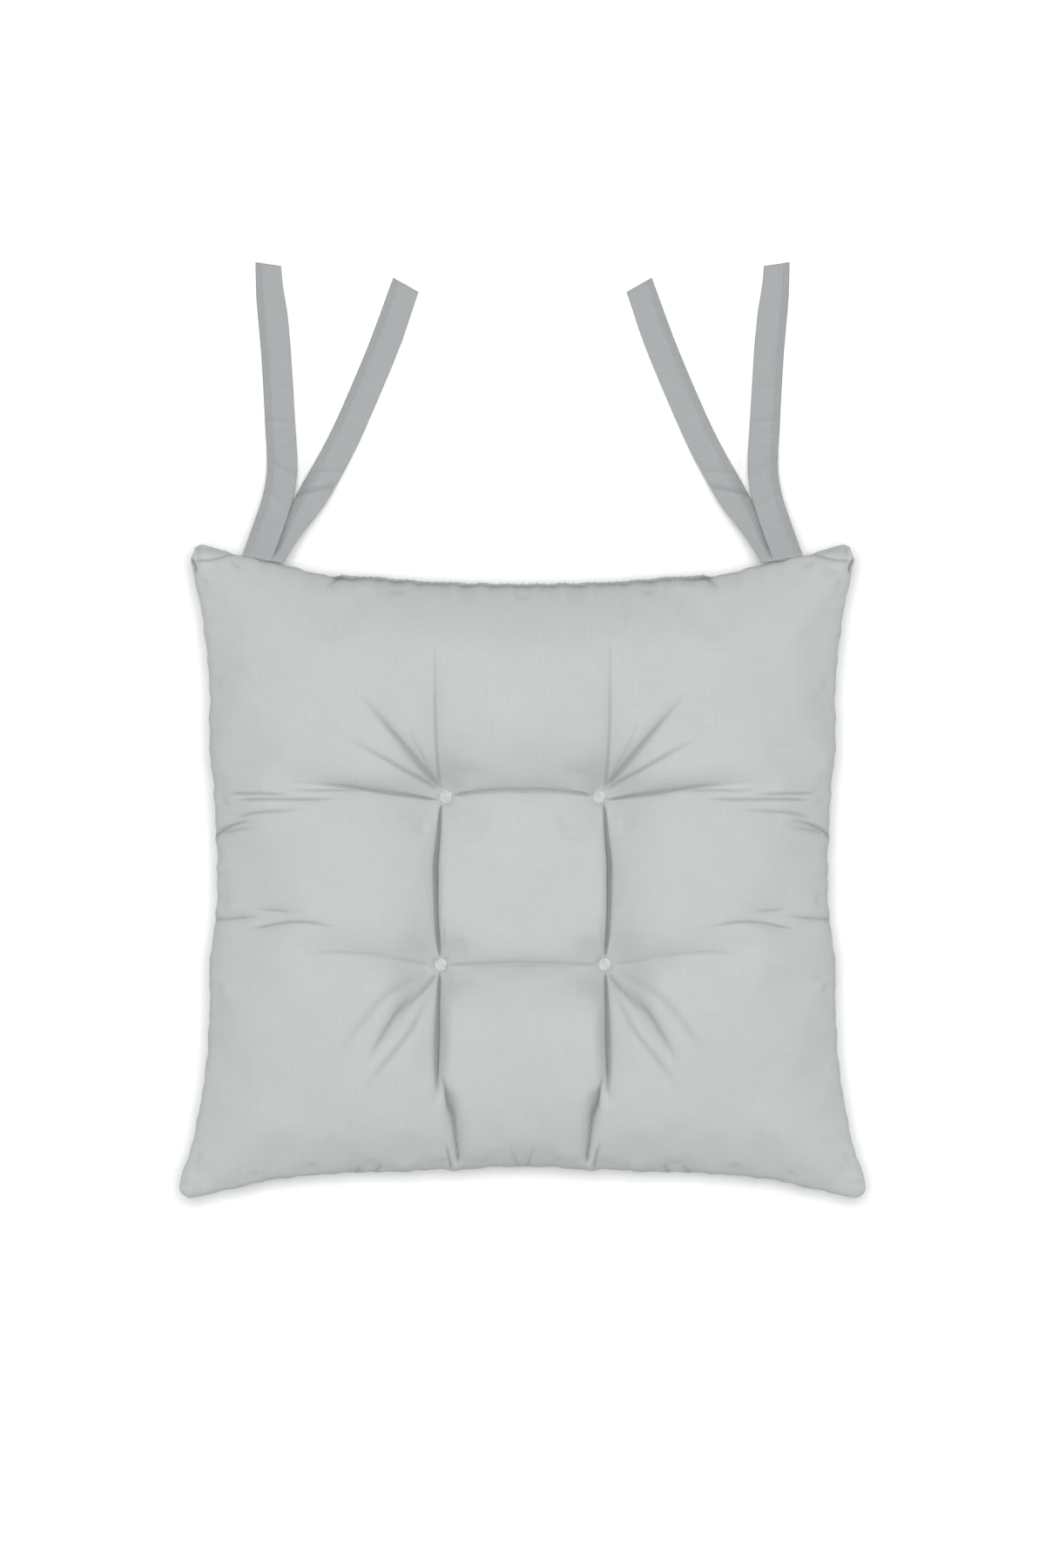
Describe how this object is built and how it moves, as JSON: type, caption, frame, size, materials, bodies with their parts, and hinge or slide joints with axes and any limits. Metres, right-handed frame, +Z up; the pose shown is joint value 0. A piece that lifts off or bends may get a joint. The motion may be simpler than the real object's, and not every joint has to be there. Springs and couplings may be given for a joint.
{
  "type": "chair seat pad",
  "caption": "Square tufted seat pad in grey cotton, filled with loose fibre, with pairs of fabric ties at its rear corners.",
  "frame": {"origin": "middle of the flat patch on the underside that the pad rests on", "axes": "+X to the right seen from the front edge, +Y to the rear edge with the ties, +Z up"},
  "size_m": [0.4, 0.5456, 0.063],
  "materials": {
    "cover_cloth": "light cool grey plain-weave cotton, matt",
    "tie_cloth": "the same cotton folded into flat tape, matt",
    "filling_fibre": "white loose polyester fibre",
    "tuft_thread": "pale grey waxed thread, wound into a round tack",
    "sewing_thread": "grey sewing thread"
  },
  "bodies": {
    "pad": {"cover_top_panel": "cover_cloth", "cover_bottom_panel": "cover_cloth", "fibre_filling": "filling_fibre", "edge_seam_thread": "sewing_thread", "rear_closing_stitching": "sewing_thread", "tuft_tack_top_rear_left": "tuft_thread", "tuft_tack_bottom_rear_left": "tuft_thread", "tufting_thread_rear_left": "tuft_thread", "tuft_tack_top_rear_right": "tuft_thread", "tuft_tack_bottom_rear_right": "tuft_thread", "tufting_thread_rear_right": "tuft_thread", "tuft_tack_top_front_left": "tuft_thread", "tuft_tack_bottom_front_left": "tuft_thread", "tufting_thread_front_left": "tuft_thread", "tuft_tack_top_front_right": "tuft_thread", "tuft_tack_bottom_front_right": "tuft_thread", "tufting_thread_front_right": "tuft_thread"},
    "tie_left_outer": {"tie_left_outer": "tie_cloth", "tie_stitching_left_outer": "sewing_thread"},
    "tie_left_inner": {"tie_left_inner": "tie_cloth", "tie_stitching_left_inner": "sewing_thread"},
    "tie_right_outer": {"tie_right_outer": "tie_cloth", "tie_stitching_right_outer": "sewing_thread"},
    "tie_right_inner": {"tie_right_inner": "tie_cloth", "tie_stitching_right_inner": "sewing_thread"}
  },
  "joints": [
    {"name": "tie_left_outer_swing", "type": "hinge", "parent": "pad", "child": "tie_left_outer", "pos_m": [-0.14436, 0.18207, 0.026], "axis": [0.987, -0.1606, 0], "range_deg": [-75, 120]},
    {"name": "tie_left_inner_swing", "type": "hinge", "parent": "pad", "child": "tie_left_inner", "pos_m": [-0.14436, 0.18207, 0.026], "axis": [0.987, -0.1606, 0], "range_deg": [-75, 120]},
    {"name": "tie_right_outer_swing", "type": "hinge", "parent": "pad", "child": "tie_right_outer", "pos_m": [0.14436, 0.18207, 0.026], "axis": [0.987, 0.1606, 0], "range_deg": [-75, 120]},
    {"name": "tie_right_inner_swing", "type": "hinge", "parent": "pad", "child": "tie_right_inner", "pos_m": [0.14436, 0.18207, 0.026], "axis": [0.987, 0.1606, 0], "range_deg": [-75, 120]}
  ]
}
